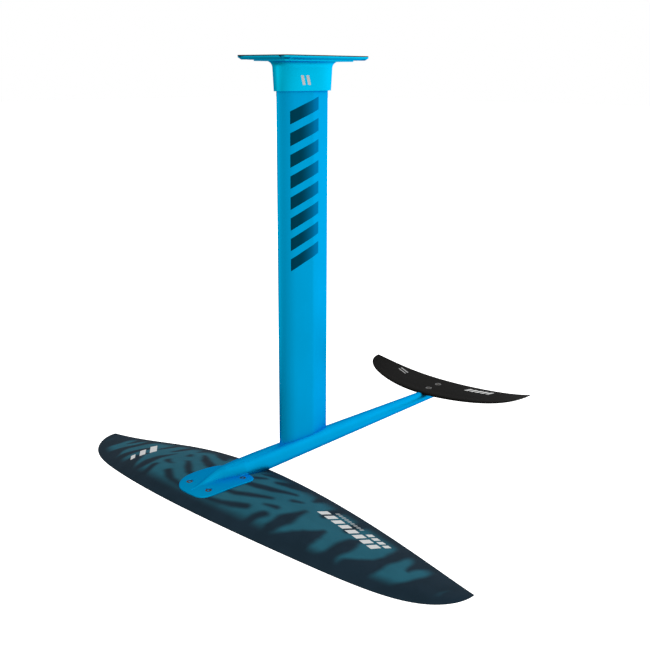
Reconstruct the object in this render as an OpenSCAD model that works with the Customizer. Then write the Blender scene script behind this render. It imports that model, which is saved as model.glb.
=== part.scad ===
// Hydrofoil: mast, fuselage, front wing and stabiliser, bolted together.
// Origin: centre of the face that meets the board. +Z up, front wing towards -Y.

/* [Board plate] */
// Length of the mounting plate, fore and aft
plate_l = 195; // [185:1:205]
// Width of the mounting plate
plate_w = 116; // [112:1:124]
// Height of the plate's underside below the board
plate_t = 7; // [6.5:0.5:8]
// Thickness of the rubber pad between plate and board
pad_t = 1.5; // [1:0.5:2]
// Distance between the board slots, side to side
slot_x = 90; // [88:1:92]
// Distance between the board slots, fore and aft
slot_y = 165; // [162:1:166]
// Length of a board slot, end to end
slot_l = 14; // [10:1:14]
// Radius of the board screws' slots
slot_r = 4.3; // [4.2:0.1:4.5]
// Depth of the collar below the board
collar_z = 55; // [50:1:60]

/* [Mast] */
// Chord of the mast extrusion
mast_c = 120; // [118:1:122]
// Thickness of the mast extrusion
mast_th = 15; // [15:0.5:16]
// Wall of the mast extrusion
mast_wall = 2; // [1.8:0.1:2.1]
// Fore and aft place of the mast's nose
mast_nose_y = -64; // [-65:0.5:-63]
// Depth of the mast's top end below the board
mast_top = 12; // [11:0.5:13]
// Depth of the mast's foot below the board
mast_foot = 680; // [676:1:682]

/* [Fuselage] */
// Height of the fuselage's straight underside
fuse_bottom = -692; // [-693:0.2:-691.6]
// Height of the fuselage's ridge over the wing
fuse_ridge = -654.2; // [-656:0.2:-654]
// Fall of the ridge for each millimetre aft
fuse_slope = 0.033; // [0.03:0.001:0.036]
// Half width of the fuselage over the wing
fuse_half_w = 19; // [18:0.5:20]
// Fore and aft place of the nose of the ridge
fuse_nose_y = -264; // [-266:1:-262]
// Fore and aft place of the tail end
fuse_tail_y = 438; // [432:1:442]
// Thickness of the saddle pad that rests on the wing
saddle_t = 2.2; // [2:0.1:2.6]

/* [Front wing] */
// Half of the front wing's span
wing_half = 439; // [430:1:450]
// Height of the front wing's root
wing_z = -691; // [-692:0.5:-690]
// Thickness of the root section as a share of its chord
wing_tc = 0.14; // [0.135:0.005:0.145]
// Camber of the root section as a share of its chord
wing_camber = 0.035; // [0.03:0.005:0.035]

/* [Stabiliser] */
// Half of the stabiliser's span
stab_half = 199; // [190:1:210]
// Height of the stabiliser's root
stab_z = -669.5; // [-670:0.5:-669]
// Thickness of the root section as a share of its chord
stab_tc = 0.1; // [0.095:0.005:0.105]
// Camber of the root section, downwards
stab_camber = -0.035; // [-0.04:0.005:-0.035]

/* [Fasteners] */
// Shank radius of the mast screws
mast_screw_r = 4; // [3:0.5:4]
// Shank radius of the wing and stabiliser screws
wing_screw_r = 3; // [2.5:0.5:3]
// Clearance around a shank or a mast end
clear = 0.1; // [0.05:0.05:0.2]

/* [Hidden] */
$fn = 48;
joint_overlap = 0.5;     // how far solids of one piece run into each other before a union
deep = 60;               // reach of a cutting shape past the piece it cuts

// plate and collar
plate_r = 9;             // corner radius of the plate
rim_h = 2;               // upright part of the plate's rim
rim_in = 4.5;            // how far the rim's underside is chamfered in
boss_in = 17.5;          // inset of the boss under the plate
boss_t = 2;              // height of the boss
boss_r = 6;              // corner radius of the boss
washer_r = 8.5;          // recess for the board screws' washers
washer_t = 2.5;
notch_w = 12.5;          // marks in the rim that show where the slots are
notch_h = 3.8;
notch_in = 2.5;
collar_half_l = 64;      // collar at its lower edge
collar_half_w = 11.5;
collar_y = -3;           // middle of the collar
collar_flare = 10;       // radius of the fillet between collar and plate
flare_part = 0.97;       // share of the fillet's quarter circle below the boss
collar_draft = 0.055;    // widening of the collar for each millimetre up
collar_power = 3;        // squareness of the collar's section

// mast: nose ellipse, flat sides, then a taper to the tail
nose_end = 0.3;
taper_start = 0.64;
taper_power = 1.15;
tail_half = 0.9;
mast_steps = 64;
mast_screw_y = [-34, 12];
// fore and aft limits of the hollow cells inside the extrusion
mast_cells = [[-58, -48], [-46, -22], [-20, 24], [26, 44]];
plug_cells = [1, 2];     // cells that hold the threaded plugs
plug_l = 46;
sleeve_l = 24;
mast_sleeve_r = 4.9;
mast_head_r = 8;         // countersunk head of a mast screw
mast_head_t = 4.2;
foot_head_z = -690.4;    // face of the foot screws' heads

// fuselage
ring_n = 32;
saddle_y = -214.5;       // middle of the saddle pad
saddle_half_l = 57;
saddle_half_w = 44.5;
front_power = 3.2;       // squareness of the saddle's front and rear corners
rear_power = 5;
saddle_round = 0.7;      // rounding of the saddle's upper edge
front_rows = 20;         // rows of points before and behind the saddle's middle
rear_rows = 12;
ridge_base = -671;       // height at which the ridge dies into the saddle
fall_y = -105;           // where the ridge starts to fall towards the tail
fall_round = 40;
ridge_run = 70;          // length of the ridge's rise
bell_spread = 1.7;       // width of the bell at the ridge's nose, in ridge widths
nose_run = 104;          // length over which the nose widens
blend_run = 66;          // length over which the ridge's soft foot turns into a crisp one
tube_y = [-172, -162];   // where the tube starts inside the ridge, and where it is full size
tube_start = 0.96;

// planforms, by S = share of the half span
s_end = 0.9995;          // the outline stops just short of the tip's point
wing_le = [-289, 178, -149, 39, 111];
wing_te = [-99, 50, -65, 6, 0];
wing_arc = [-119, 62];
wing_rows = 24;
wing_cols = 14;
stab_le = [347, 96, -82, 20, 75.5];
stab_te = [447, 52.5, -43, 0, 0];
stab_arc = [-5.5, 20.5];
stab_rows = 14;
stab_cols = 10;
skin_t = 1.4;            // laminate thickness at the root
edge_half = 0.4;         // half thickness of a trailing edge
edge_round = 0.4;
core_left = 2;           // columns and rows that the foam core keeps clear of the edges
core_rows_left = 4;

// screws through the wing and the stabiliser
wing_screw_at = [[23.5, -249], [-23.5, -249], [25.7, -176.6], [-25.7, -176.6]];
stab_screw_y = [380, 414];
small_head_r = 5.3;      // countersunk head of a wing screw
small_head_t = 2.2;
recess_r = 6.4;          // recess around a wing screw's head
head_sink = 0.7;
skin_hole_r = 4.6;       // room for the screws' heads in the skin under the saddle pad
wing_sleeve_r = 5;
wing_sleeve_top = -678.5;
wing_sleeve_low = -692;
block_half_w = 38;
block_y = [-264, -166];
ferrule_r = 6.6;
ferrule_waist = 4.2;
tail_sleeve_r = 4.5;
tail_sleeve_top = -679.5;
tail_sleeve_low = -689.5;

// ---------- shape functions ----------

function smooth(t) = let(u = min(max(t, 0), 1)) u * u * (3 - 2 * u);
function signed_pow(v, e) = sign(v) * pow(abs(v), e);

// Edge line of a planform: even powers of S and a round tip.
function edge_y(k, s) = k[0] + k[1] * pow(s, 2) + k[2] * pow(s, 4) + k[3] * pow(s, 8)
    + k[4] * (1 - sqrt(max(0, 1 - pow(s, 4))));
function arc_z(z, k, s) = z + k[0] * pow(s, 2) + k[1] * pow(s, 4);

// Half thickness and camber of a four-digit section at chord share c.
function half_section(c) = 5 * (0.2969 * sqrt(c) - 0.126 * c - 0.3516 * pow(c, 2)
    + 0.2843 * pow(c, 3) - 0.1036 * pow(c, 4));
function camber_line(c) = c < 0.3 ? (0.6 * c - c * c) / 0.09 : (0.4 + 0.6 * c - c * c) / 0.49;

// A foil is [half span, root z, leading edge, trailing edge, arc, thickness, camber].
WING = [wing_half, wing_z, wing_le, wing_te, wing_arc, wing_tc, wing_camber];
STAB = [stab_half, stab_z, stab_le, stab_te, stab_arc, stab_tc, stab_camber];
function chord(f, s) = edge_y(f[3], s) - edge_y(f[2], s);
function tc_at(f, s) = f[5] * (1 - 0.28 * s * s);
function camber_at(f, s) = f[6] * (1 - 0.28 * s * s);

// Point on a foil: span share t, chord share c, and how much of the half thickness to add.
function foil_point(f, t, c, side) =
    let(s = abs(t) * s_end, ch = chord(f, s), in = min(c, 1))
    [t * f[0], edge_y(f[2], s) + c * ch,
     arc_z(f[1], f[4], s) + ch * camber_at(f, s) * camber_line(in)
         + side * (ch * tc_at(f, s) * half_section(in) + edge_half * in)];

// Height of a foil's upper (side 1) or lower (side -1) surface at x, y.
function foil_z(f, x, y, side) =
    let(s = abs(x) / f[0] * s_end, c = (y - edge_y(f[2], s)) / chord(f, s))
    foil_point(f, x / f[0], c, side)[2];

function row_share(j, n) = sin(90 * j / n);
function col_share(f, t, i, n) = i < n ? (1 - cos(180 * i / (n - 1))) / 2
    : 1 + edge_round / chord(f, abs(t) * s_end);
function on_rim(j, i, m, n) = abs(j) == m || i == 0 || i == n;

// Grid of points over a foil, m rows each side of the middle and n columns.
// The rim lies on the section's mean line, so that upper and lower grids meet there.
function outer_grid(f, m, n, side) = [for (j = [-m:m]) [for (i = [0:n])
    let(t = row_share(j, m))
    foil_point(f, t, col_share(f, t, i, n), on_rim(j, i, m, n) ? 0 : side)]];

// Share of the half thickness that the core fills, and the grid of its surface.
function in_core(j, i, m, n) = abs(j) < m - core_rows_left && i > core_left && i < n - core_left;
function core_share(f, t) = let(s = abs(t) * s_end)
    max(0.2, 1 - skin_t / (chord(f, s) * tc_at(f, s) / 2));
function inner_grid(f, m, n, side) = [for (j = [-m:m]) [for (i = [0:n])
    let(t = row_share(j, m))
    foil_point(f, t, col_share(f, t, i, n), in_core(j, i, m, n) ? side * core_share(f, t) : 0)]];

function crop(g, j0, j1, i0, i1) = [for (j = [j0:j1]) [for (i = [i0:i1]) g[j][i]]];

// ---------- solids from grids and rings ----------

// Closed solid between two grids that share their rim.
module lens(upper, lower) {
    nj = len(upper);
    ni = len(upper[0]);
    points = concat([for (row = upper) each row],
        [for (j = [1:nj - 2]) for (i = [1:ni - 2]) lower[j][i]]);
    function a(j, i) = j * ni + i;
    function b(j, i) = (j == 0 || i == 0 || j == nj - 1 || i == ni - 1) ? a(j, i)
        : nj * ni + (j - 1) * (ni - 2) + i - 1;
    function turned(j, i) = (j < nj / 2 - 0.5) != (i < ni / 2 - 0.5);
    faces = [for (j = [0:nj - 2]) for (i = [0:ni - 2]) each turned(j, i)
        ? [[a(j, i), a(j, i + 1), a(j + 1, i)], [a(j, i + 1), a(j + 1, i + 1), a(j + 1, i)],
           [b(j + 1, i), b(j, i + 1), b(j, i)], [b(j + 1, i), b(j + 1, i + 1), b(j, i + 1)]]
        : [[a(j, i), a(j, i + 1), a(j + 1, i + 1)], [a(j, i), a(j + 1, i + 1), a(j + 1, i)],
           [b(j + 1, i + 1), b(j, i + 1), b(j, i)], [b(j + 1, i), b(j + 1, i + 1), b(j, i)]]];
    polyhedron(points, faces, convexity = 6);
}

// Solid through a list of rings. A ring runs anticlockwise, seen from the last ring's side.
module loft(rings) {
    n = len(rings[0]);
    last = len(rings) - 1;
    function middle(ring) = [for (k = [0:2]) [for (p = ring) p[k]] * [for (p = ring) 1] / n];
    points = concat([for (ring = rings) each ring], [middle(rings[0]), middle(rings[last])]);
    low = n * (last + 1);
    sides = [for (k = [0:last - 1]) for (i = [0:n - 1]) let(j = (i + 1) % n)
        each [[k * n + i, (k + 1) * n + i, (k + 1) * n + j], [k * n + i, (k + 1) * n + j, k * n + j]]];
    caps = [for (i = [0:n - 1]) let(j = (i + 1) % n)
        each [[low, i, j], [low + 1, last * n + j, last * n + i]]];
    polyhedron(points, concat(sides, caps), convexity = 6);
}

// Solid that reaches from a foil's surface down, or up, to a flat face at height z.
module foil_cutter(f, m, n, side, span_rows, z) {
    g = crop(outer_grid(f, m, n, side), m - span_rows, m + span_rows, 0, n);
    // one closed ring for each row, from the surface round by the flat face
    rings = [for (row = g) concat([for (p = row) p],
        [for (i = [n:-1:0]) [row[i][0], row[i][1], z]])];
    turned = [for (ring = rings) [for (i = [len(ring) - 1:-1:0]) ring[i]]];
    if (side > 0) loft(turned);
    else loft(rings);
}

module rounded_plate(l, w, r, z0, z1) {
    hull() for (sx = [-1, 1], sy = [-1, 1])
        translate([sx * (w / 2 - r), sy * (l / 2 - r), z0]) cylinder(h = z1 - z0, r = r, $fn = 32);
}

// Countersunk screw: its face at z, its shank along dir (1 up, -1 down).
module csk_screw(z, r, head_r, head_t, length, socket_r) {
    translate([0, 0, z]) mirror([0, 0, 1]) difference() {
        union() {
            cylinder(h = head_t, r1 = head_r, r2 = r);
            cylinder(h = length, r = r);
        }
        translate([0, 0, -1]) cylinder(h = head_t, r = socket_r, $fn = 6);
    }
}

// The hole for such a screw, with an open mouth above its face.
module csk_hole(z, r, head_r, head_t, length, mouth_r) {
    translate([0, 0, z]) mirror([0, 0, 1]) {
        cylinder(h = head_t, r1 = head_r, r2 = r);
        cylinder(h = length, r = r);
        translate([0, 0, -deep]) cylinder(h = deep, r = mouth_r);
    }
}

module board_slots(r, z0, z1) {
    run = slot_l - 2 * slot_r;
    for (sx = [-1, 1], sy = [-1, 1]) translate([sx * slot_x / 2, sy * slot_y / 2, z0]) {
        for (e = [-1, 1]) translate([e * run / 2, 0, 0]) cylinder(h = z1 - z0, r = r);
        translate([-run / 2, -r, 0]) cube([run, 2 * r, z1 - z0]);
    }
}

// ---------- board plate and mast ----------

module mount_pad() {
    color("dimgray") difference() {
        rounded_plate(plate_l, plate_w, plate_r, -pad_t, 0);
        board_slots(slot_r, -pad_t - 1, 1);
        for (y = mast_screw_y) translate([0, y, -pad_t - 1]) cylinder(h = deep, r = mast_head_r + 1);
    }
}

// Ring of the collar at height z: a squared ellipse that flares into the plate.
function collar_ring(z) =
    let(up = z + collar_z, start = -plate_t - boss_t - flare_part * collar_flare, u = max(0, z - start),
        grow = collar_draft * up + collar_flare - sqrt(max(0, pow(collar_flare, 2) - u * u)))
    [for (k = [0:ring_n * 1.5 - 1]) let(a = 360 * k / (ring_n * 1.5))
        [(collar_half_w + grow) * signed_pow(cos(a), 2 / collar_power),
         collar_y + (collar_half_l + grow) * signed_pow(sin(a), 2 / collar_power), z]];

module top_plate() {
    boss_z = -plate_t - boss_t;
    flare = [for (k = [0:6]) boss_z - flare_part * collar_flare * (1 - sin(90 * k / 6))];
    color("deepskyblue") difference() {
        union() {
            hull() {
                rounded_plate(plate_l, plate_w, plate_r, -pad_t - rim_h, -pad_t);
                rounded_plate(plate_l - 2 * rim_in, plate_w - 2 * rim_in, plate_r - 2, -plate_t,
                    -plate_t + 0.1);
            }
            rounded_plate(plate_l - 2 * boss_in, plate_w - 2 * boss_in, boss_r, boss_z,
                -plate_t + joint_overlap);
            loft([for (z = concat([-collar_z], flare, [boss_z + joint_overlap]))
                collar_ring(min(z, boss_z)) + [for (k = [0:ring_n * 1.5 - 1]) [0, 0, max(0, z - boss_z)]]]);
        }
        board_slots(slot_r, -deep, 1);
        board_slots(washer_r, -deep, -plate_t + washer_t);
        for (sx = [-1, 1], sy = [-1, 1]) translate([sx * slot_x / 2, sy * plate_l / 2, 0])
            rotate([90, 0, 0]) linear_extrude(2 * notch_in, center = true)
                polygon([[-notch_w / 2, 1], [-notch_w / 2, -pad_t], [0, -pad_t - notch_h],
                    [notch_w / 2, -pad_t], [notch_w / 2, 1]]);
        mast_cut(-collar_z - 1, -mast_top);
        for (y = mast_screw_y) translate([0, y, 0])
            csk_hole(-pad_t - 0.2, mast_screw_r + clear, mast_head_r + clear, mast_head_t, 30,
                mast_head_r + clear);
    }
}

module plate_screws() {
    color("silver") for (y = mast_screw_y) translate([0, y, 0])
        csk_screw(-pad_t - 0.3, mast_screw_r, mast_head_r, mast_head_t, 38, 2.9);
}

// Half thickness of the mast at y, less an inset.
function mast_half(y) = let(u = (y - mast_nose_y) / mast_c)
    u < nose_end ? mast_th / 2 * sqrt(max(0, 1 - pow(1 - u / nose_end, 2)))
    : u < taper_start ? mast_th / 2
    : mast_th / 2 - (mast_th / 2 - tail_half) * pow((u - taper_start) / (1 - taper_start), taper_power);
function mast_ys(y0, y1, n) = [for (k = [0:n]) y0 + (y1 - y0) * (1 - cos(180 * k / n)) / 2];
// Outline between two stations, grown (or shrunk) by e.
function mast_outline(y0, y1, n, e) = let(ys = mast_ys(y0, y1, n))
    concat([for (y = ys) [mast_half(y) + e, y]], [for (k = [n:-1:0]) [-mast_half(ys[k]) - e, ys[k]]]);

// Hole for a mast end, with a little room all round.
module mast_cut(z0, z1) {
    translate([0, 0, z0]) linear_extrude(z1 - z0)
        polygon([for (p = mast_outline(mast_nose_y, mast_nose_y + mast_c, mast_steps, clear))
            [p[0], p[1] < mast_nose_y + mast_c / 2 ? p[1] - clear : p[1] + clear]]);
}

module mast_extrusion() {
    color("dodgerblue") translate([0, 0, -mast_foot]) linear_extrude(mast_foot - mast_top)
        difference() {
            polygon(mast_outline(mast_nose_y, mast_nose_y + mast_c, mast_steps, 0));
            for (cell = mast_cells) polygon(mast_outline(cell[0], cell[1], 12, -mast_wall));
        }
}

// Aluminium plugs that fill two cells of the mast, drilled for threaded sleeves.
module plugs(z0) {
    for (k = plug_cells) difference() {
        translate([0, 0, z0]) linear_extrude(plug_l)
            polygon(mast_outline(mast_cells[k][0] + clear, mast_cells[k][1] - clear, 12,
                -mast_wall - clear / 2));
        for (y = mast_screw_y) translate([0, y, z0 - 1]) cylinder(h = plug_l + 2, r = mast_sleeve_r);
    }
}

module sleeves(z0) {
    for (y = mast_screw_y) translate([0, y, z0]) difference() {
        cylinder(h = sleeve_l, r = mast_sleeve_r);
        translate([0, 0, -1]) cylinder(h = sleeve_l + 2, r = mast_screw_r + 0.05);
    }
}

module head_plugs() {
    color("gray") plugs(-mast_top - plug_l - 0.5);
}

module head_sleeves() {
    color("goldenrod") sleeves(-mast_top - 1 - sleeve_l);
}

module foot_plugs() {
    color("gray") plugs(-mast_foot + 0.5);
}

module foot_sleeves() {
    color("goldenrod") sleeves(-mast_foot + 1);
}

module foot_screws() {
    color("silver") for (y = mast_screw_y) translate([0, y, 0]) mirror([0, 0, 1])
        csk_screw(-foot_head_z, mast_screw_r, mast_head_r, mast_head_t, 34, 2.9);
}

// ---------- fuselage ----------

// Height of the ridge, half width and middle height of the fuselage at y.
function ridge_z(y) = let(u = y - fall_y) y < fuse_nose_y + ridge_run
    ? ridge_base + (fuse_ridge - ridge_base) * smooth((y - fuse_nose_y) / ridge_run)
    : max(fuse_ridge - fuse_slope * (u + sqrt(u * u + fall_round * fall_round)) / 2, stab_z - 0.5);
function middle_z(y) = let(t = smooth((y - fuse_nose_y) / nose_run))
    (ridge_base - 1.5) * (1 - t) + (ridge_z(y) + fuse_bottom) / 2 * t;
function body_half_h(y) = ridge_z(y) - middle_z(y);
function body_half_w(y) = let(t = min(1, (y - fuse_nose_y + 2) / nose_run))
    y < fuse_nose_y + nose_run ? fuse_half_w * (t + 0.1 * t * sin(180 * t))
    : min(fuse_half_w, body_half_h(y) + 0.4);
function tail_round(y) = let(u = max(0, (y - fuse_tail_y + 14) / 14)) sqrt(max(0.04, 1 - u * u));

// Ring of the tube, drawn in a little at its hidden front end.
function tube_ring(y) = let(q = tail_round(y) * (tube_start + (1 - tube_start)
        * smooth((y - tube_y[0]) / (tube_y[1] - tube_y[0]))))
    [for (k = [0:ring_n - 1]) let(a = 360 * k / ring_n)
        [body_half_w(y) * q * sin(a), y, middle_z(y) + body_half_h(y) * q * cos(a)]];

// Saddle pad: a squared ellipse that follows the wing's upper surface, with a rounded edge.
function saddle_power(y) = y < saddle_y ? front_power : rear_power;
function saddle_half(y) = let(n = saddle_power(y))
    saddle_half_w * pow(max(0, 1 - pow(abs(y - saddle_y) / saddle_half_l, n)), 1 / n);
function saddle_level(x, y) = let(n = saddle_power(y))
    pow(pow(abs(x) / saddle_half_w, n) + pow(abs(y - saddle_y) / saddle_half_l, n), 1 / n);
function saddle_z(x, y) =
    let(d = min(1, max(0, (1 - saddle_level(x, y)) * saddle_half_w / saddle_round)))
    foil_z(WING, x, y, 1) + saddle_t - saddle_round * (1 - sqrt(1 - pow(1 - d, 2)));

// The ridge rises from the saddle: a soft bell at its nose, the tube's own round top further aft.
function ridge_foot(y) = let(drop = (foil_z(WING, 0, y, 1) + saddle_t - middle_z(y)) / body_half_h(y))
    body_half_w(y) * sqrt(max(0.01, 1 - pow(max(0, drop), 2)));
function front_z(x, y) =
    let(pad = saddle_z(x, y), foot = ridge_foot(y), crisp = smooth((y - fuse_nose_y) / blend_run),
        round = abs(x) > foot + 0.01 ? pad
            : middle_z(y) + body_half_h(y) * sqrt(max(0, 1 - pow(x / body_half_w(y), 2))),
        bell = max(0, ridge_z(y) - saddle_z(0, y))
            * (1 + cos(180 * min(1, abs(x) / foot / bell_spread))) / 2)
    y < fuse_nose_y ? pad : pad + crisp * max(0, round - pad) + (1 - crisp) * bell;

// Cross-section at y: over the top from one side to the other, then back along a hidden flat.
function front_ring(y) =
    let(w = saddle_half(y), foot = min(ridge_foot(y), w / 2),
        half = concat([for (k = [1:8]) foot * sin(90 * k / 8)],
            [for (k = [1:5]) foot + (w - saddle_round - foot) * k / 5],
            [w - 0.3 * saddle_round, w]),
        xs = concat([for (k = [len(half) - 1:-1:0]) -half[k]], [0], half))
    concat([for (x = xs) [x, y, front_z(x, y)]], [[w, y, fuse_bottom], [-w, y, fuse_bottom]]);

// Share of the saddle's half length for row share k: rows crowd together at the rim.
function row_reach(k) = 1 - max(0.0004, pow(k, 2.2));

function saddle_top(at) = foil_z(WING, at[0], at[1], 1) + saddle_t;

module fuselage() {
    ahead = [for (k = [0:front_rows]) saddle_y - saddle_half_l * row_reach(k / front_rows)];
    behind = [for (k = [rear_rows - 1:-1:0]) saddle_y + saddle_half_l * row_reach(k / rear_rows)];
    straight = [for (y = [-157, -140, -110, -70, -20, 60, 160, 260, 345, 424]) y];
    tail = [for (k = [1:4]) fuse_tail_y - 14 * (1 - sin(90 * k / 4))];
    color("deepskyblue") difference() {
        union() {
            loft([for (y = concat(ahead, behind)) front_ring(y)]);
            loft([for (y = concat(tube_y, straight, tail)) tube_ring(y)]);
        }
        foil_cutter(WING, wing_rows, wing_cols, 1, 3, fuse_bottom - deep);
        foil_cutter(STAB, stab_rows, stab_cols, -1, 2, stab_z + deep);
        mast_cut(-mast_foot, -mast_foot + deep);
        for (y = mast_screw_y) translate([0, y, 0]) mirror([0, 0, 1])
            csk_hole(-foot_head_z + 0.1, mast_screw_r + clear, mast_head_r + clear, mast_head_t, 30,
                mast_head_r + 0.4);
        for (at = wing_screw_at) translate([at[0], at[1], 0])
            csk_hole(saddle_top(at) - head_sink + 0.1, wing_screw_r + clear, small_head_r + clear,
                small_head_t, 20, recess_r);
        for (y = stab_screw_y) translate([0, y, tail_sleeve_low]) {
            cylinder(h = tail_sleeve_top - tail_sleeve_low, r = tail_sleeve_r);
            cylinder(h = deep, r = wing_screw_r + clear);
        }
    }
}

module tail_sleeves() {
    color("goldenrod") for (y = stab_screw_y) translate([0, y, tail_sleeve_low]) difference() {
        cylinder(h = tail_sleeve_top - tail_sleeve_low, r = tail_sleeve_r);
        translate([0, 0, 1]) cylinder(h = deep, r = wing_screw_r + 0.05);
    }
}

// ---------- front wing ----------

module wing_screw_holes(r) {
    for (at = wing_screw_at) translate([at[0], at[1], wing_sleeve_low]) cylinder(h = deep, r = r);
}

module wing_top_skin() {
    color("darkslategray") difference() {
        lens(outer_grid(WING, wing_rows, wing_cols, 1), inner_grid(WING, wing_rows, wing_cols, 1));
        wing_screw_holes(skin_hole_r);
    }
}

module wing_bottom_skin() {
    color("darkslategray")
        lens(inner_grid(WING, wing_rows, wing_cols, -1), outer_grid(WING, wing_rows, wing_cols, -1));
}

function core_crop(f, m, n, side) = crop(inner_grid(f, m, n, side), core_rows_left,
    2 * m - core_rows_left, core_left, n - core_left);

module wing_fill() {
    lens(core_crop(WING, wing_rows, wing_cols, 1), core_crop(WING, wing_rows, wing_cols, -1));
}

module block_box() {
    translate([-block_half_w, block_y[0], wing_z - deep])
        cube([2 * block_half_w, block_y[1] - block_y[0], 2 * deep]);
}

module wing_core() {
    color("khaki") difference() {
        wing_fill();
        block_box();
    }
}

module wing_hardpoint() {
    color("darkkhaki") difference() {
        intersection() {
            wing_fill();
            block_box();
        }
        wing_screw_holes(wing_screw_r + clear);
        for (at = wing_screw_at) translate([at[0], at[1], wing_sleeve_low])
            cylinder(h = wing_sleeve_top - wing_sleeve_low, r = wing_sleeve_r);
    }
}

module wing_sleeves() {
    color("goldenrod") for (at = wing_screw_at) translate([at[0], at[1], wing_sleeve_low])
        difference() {
            cylinder(h = wing_sleeve_top - wing_sleeve_low, r = wing_sleeve_r);
            translate([0, 0, 1]) cylinder(h = deep, r = wing_screw_r + 0.05);
        }
}

module wing_screws() {
    color("silver") for (at = wing_screw_at) translate([at[0], at[1], 0])
        csk_screw(saddle_top(at) - head_sink, wing_screw_r, small_head_r, small_head_t,
            saddle_top(at) - head_sink - wing_sleeve_low - 2, 2.2);
}

// ---------- stabiliser ----------

function stab_top(y) = foil_z(STAB, 0, y, 1) - 0.1;

module ferrule_body(y, grow) {
    translate([0, y, stab_top(y) - 3.4]) cylinder(h = 3.4 + grow, r1 = ferrule_waist, r2 = ferrule_r);
    translate([0, y, stab_top(y) - 5.2]) cylinder(h = 3, r = ferrule_waist);
}

module stab_holes() {
    for (y = stab_screw_y) {
        ferrule_body(y, 0);
        translate([0, y, stab_top(y)]) cylinder(h = deep, r = ferrule_r);
        translate([0, y, stab_z - deep]) cylinder(h = 2 * deep, r = wing_screw_r + clear);
    }
}

module stab_top_skin() {
    color("#222222") difference() {
        lens(outer_grid(STAB, stab_rows, stab_cols, 1), inner_grid(STAB, stab_rows, stab_cols, 1));
        stab_holes();
    }
}

module stab_bottom_skin() {
    color("#222222") difference() {
        lens(inner_grid(STAB, stab_rows, stab_cols, -1), outer_grid(STAB, stab_rows, stab_cols, -1));
        stab_holes();
    }
}

module stab_core() {
    color("khaki") difference() {
        lens(core_crop(STAB, stab_rows, stab_cols, 1), core_crop(STAB, stab_rows, stab_cols, -1));
        stab_holes();
    }
}

module stab_ferrules() {
    color("gray") for (y = stab_screw_y) difference() {
        ferrule_body(y, 0);
        translate([0, y, 0]) csk_hole(stab_top(y) - 0.1, wing_screw_r + clear, small_head_r - 0.1,
            small_head_t - 0.2, 20, small_head_r - 0.1);
    }
}

module stab_screws() {
    color("silver") for (y = stab_screw_y) translate([0, y, 0])
        csk_screw(stab_top(y) - 0.2, wing_screw_r, small_head_r - 0.2, small_head_t - 0.3,
            stab_top(y) - tail_sleeve_low - 2.2, 2);
}

mount_pad();
top_plate();
plate_screws();
mast_extrusion();
head_plugs();
head_sleeves();
foot_plugs();
foot_sleeves();
foot_screws();
fuselage();
tail_sleeves();
wing_top_skin();
wing_bottom_skin();
wing_core();
wing_hardpoint();
wing_sleeves();
wing_screws();
stab_top_skin();
stab_bottom_skin();
stab_core();
stab_ferrules();
stab_screws();
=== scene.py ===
"""Looks of a hydrofoil: board plate, mast, fuselage, front wing and stabiliser.

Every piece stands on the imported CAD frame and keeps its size. Lengths are in metres and the
frame's axes hold: +Z up to the board, the front wing towards -Y.
"""

import math

import bpy
import numpy as np
from bpy.props import FloatProperty, FloatVectorProperty, IntProperty, PointerProperty
from mathutils import Matrix, Vector


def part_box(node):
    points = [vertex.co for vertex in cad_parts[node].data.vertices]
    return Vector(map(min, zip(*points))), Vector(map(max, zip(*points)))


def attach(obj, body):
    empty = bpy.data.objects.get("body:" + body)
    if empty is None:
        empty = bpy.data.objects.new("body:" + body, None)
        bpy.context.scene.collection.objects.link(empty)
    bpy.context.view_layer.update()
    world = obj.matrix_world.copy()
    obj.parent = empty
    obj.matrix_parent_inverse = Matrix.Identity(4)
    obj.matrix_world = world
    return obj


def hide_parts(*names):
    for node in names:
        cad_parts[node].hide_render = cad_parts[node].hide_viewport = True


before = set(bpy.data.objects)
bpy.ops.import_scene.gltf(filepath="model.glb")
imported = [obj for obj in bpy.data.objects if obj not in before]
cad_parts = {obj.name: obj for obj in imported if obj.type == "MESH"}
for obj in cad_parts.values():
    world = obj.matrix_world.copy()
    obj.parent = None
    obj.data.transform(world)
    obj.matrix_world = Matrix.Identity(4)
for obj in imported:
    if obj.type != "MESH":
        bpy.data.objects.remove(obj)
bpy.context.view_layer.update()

bl_info = {
    "name": "Hydrofoil looks",
    "version": (1, 0, 0),
    "blender": (4, 5, 0),
    "location": "View3D > Sidebar > Hydrofoil",
    "description": "Finishes the pieces of a hydrofoil and sets a studio around it",
    "category": "Object",
}

MM = 0.001
BODY = "root"

# Front wing and stabiliser, in mm: edge lines by even powers of the span share, and a round tip.
S_END = 0.9995
WING = {"half": 439, "z": -691, "le": (-289, 178, -149, 39, 111), "te": (-99, 50, -65, 6, 0),
        "arc": (-119, 62), "tc": 0.14, "camber": 0.035}
STAB = {"half": 199, "z": -669.5, "le": (347, 96, -82, 20, 75.5), "te": (447, 52.5, -43, 0, 0),
        "arc": (-5.5, 20.5), "tc": 0.1, "camber": -0.035}
TIP_THINNING = 0.28
CAMBER_AT = 0.3
EDGE_HALF = 0.4
SKIN = 1.4

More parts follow.
